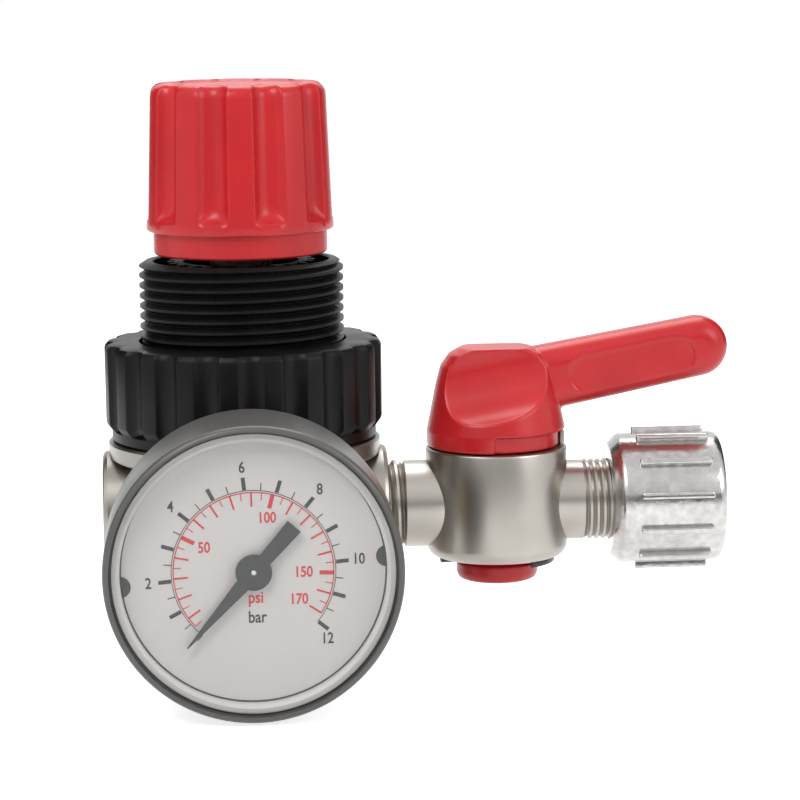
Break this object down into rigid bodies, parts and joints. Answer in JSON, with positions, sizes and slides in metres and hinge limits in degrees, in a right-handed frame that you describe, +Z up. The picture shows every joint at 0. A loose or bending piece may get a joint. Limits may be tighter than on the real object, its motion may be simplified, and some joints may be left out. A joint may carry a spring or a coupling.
{
  "type": "inline air pressure regulator",
  "caption": "Compact inline air pressure regulator with a lockable fluted knob, a round gauge and a quarter-turn outlet valve with a hose nut.",
  "frame": {"origin": "centre of the inlet port's mouth", "axes": "+X downstream along the ports, +Z up along the adjusting axis, the gauge faces -Y"},
  "size_m": [0.0931, 0.0716, 0.084],
  "materials": {
    "nickel_body": "satin nickel plate",
    "nickel_valve": "satin nickel plate",
    "zinc": "bright die-cast zinc",
    "black_plastic": "fine texture",
    "red_knob": "satin",
    "red_lever": "satin",
    "case_black": "satin",
    "window": "clear",
    "dial": "matt print",
    "pointer": "matt",
    "brass": "turned",
    "steel": "turned",
    "spring_steel": "drawn wire",
    "black_steel": "blackened",
    "rubber": "matt"
  },
  "bodies": {
    "regulator": {"regulator_body": "nickel_body", "bonnet": "black_plastic", "ring_nut": "black_plastic", "regulating_spring": "spring_steel", "diaphragm": "rubber", "valve_spring": "spring_steel", "bottom_plug": "nickel_body", "bottom_o_ring": "rubber", "rear_port_plug": "nickel_body", "rear_plug_seal": "rubber", "gauge_case": "case_black", "gauge_window": "window", "gauge_dial": "dial", "movement_frame": "brass", "bourdon_tube": "brass", "gauge_socket": "brass", "gauge_seal": "rubber", "valve_housing": "nickel_valve"},
    "adjuster": {"adjusting_screw": "steel", "thrust_washer": "steel", "screw_clip": "spring_steel"},
    "knob": {"adjusting_knob": "red_knob"},
    "carrier": {"spring_carrier": "brass"},
    "diaphragm_disc": {"diaphragm_plate": "steel", "relief_seat": "brass"},
    "poppet": {"valve_stem": "brass", "valve_seal": "rubber"},
    "sector": {"sector_gear": "brass"},
    "link": {"gauge_link": "brass"},
    "pointer": {"gauge_pointer": "pointer", "pointer_shaft": "steel"},
    "lever": {"valve_lever": "red_lever", "plug_o_rings": "rubber", "retaining_clip": "black_steel"},
    "clamp_ring": {"hose_clamp_ring": "brass"},
    "nut": {"hose_nut": "zinc"}
  },
  "joints": [
    {"name": "knob_turn", "type": "hinge", "parent": "regulator", "child": "adjuster", "pos_m": [0.021, 0, 0.04], "axis": [0, 0, -1], "range_deg": [0, 1440]},
    {"name": "knob_lock", "type": "slide", "parent": "adjuster", "child": "knob", "axis": [0, 0, -1], "range_m": [0, 0.003]},
    {"name": "carrier_travel", "type": "slide", "parent": "regulator", "child": "carrier", "axis": [0, 0, -1], "range_m": [0, 0.004], "deforming": ["regulating_spring"]},
    {"name": "diaphragm_travel", "type": "slide", "parent": "regulator", "child": "diaphragm_disc", "axis": [0, 0, -1], "range_m": [0, 0.0008], "deforming": ["diaphragm", "regulating_spring"]},
    {"name": "poppet_travel", "type": "slide", "parent": "regulator", "child": "poppet", "axis": [0, 0, -1], "range_m": [0, 0.0008], "deforming": ["valve_spring"]},
    {"name": "sector_turn", "type": "hinge", "parent": "regulator", "child": "sector", "pos_m": [0.02679, -0.0375, -0.00875], "axis": [0, -1, 0], "range_deg": [0, 30]},
    {"name": "link_swing", "type": "hinge", "parent": "sector", "child": "link", "pos_m": [0.03133, -0.0375, -0.00952], "axis": [0, -1, 0], "range_deg": [-42.5, 0]},
    {"name": "pointer_turn", "type": "hinge", "parent": "regulator", "child": "pointer", "pos_m": [0.021, -0.04, -0.0006], "axis": [0, -1, 0], "range_deg": [-270, 0]},
    {"name": "lever_turn", "type": "hinge", "parent": "regulator", "child": "lever", "pos_m": [0.05844, 0, 0], "axis": [0, 0, 1], "range_deg": [0, 90]},
    {"name": "clamp_travel", "type": "slide", "parent": "regulator", "child": "clamp_ring", "axis": [-1, 0, 0], "range_m": [0, 0.004]},
    {"name": "nut_turn", "type": "hinge", "parent": "clamp_ring", "child": "nut", "pos_m": [0.085, 0, 0], "axis": [-1, 0, 0], "range_deg": [0, 1440]}
  ],
  "couplings": [
    {"joint": "carrier_travel", "follows": "knob_turn", "m_per_rad": 0.00015915},
    {"joint": "diaphragm_travel", "follows": "knob_turn", "m_per_rad": 0.00003183},
    {"joint": "poppet_travel", "follows": "knob_turn", "m_per_rad": 0.00003183},
    {"joint": "link_swing", "follows": "sector_turn", "ratio": -1.4049},
    {"joint": "pointer_turn", "follows": "sector_turn", "ratio": -9},
    {"joint": "clamp_travel", "follows": "nut_turn", "m_per_rad": 0.00015915}
  ]
}
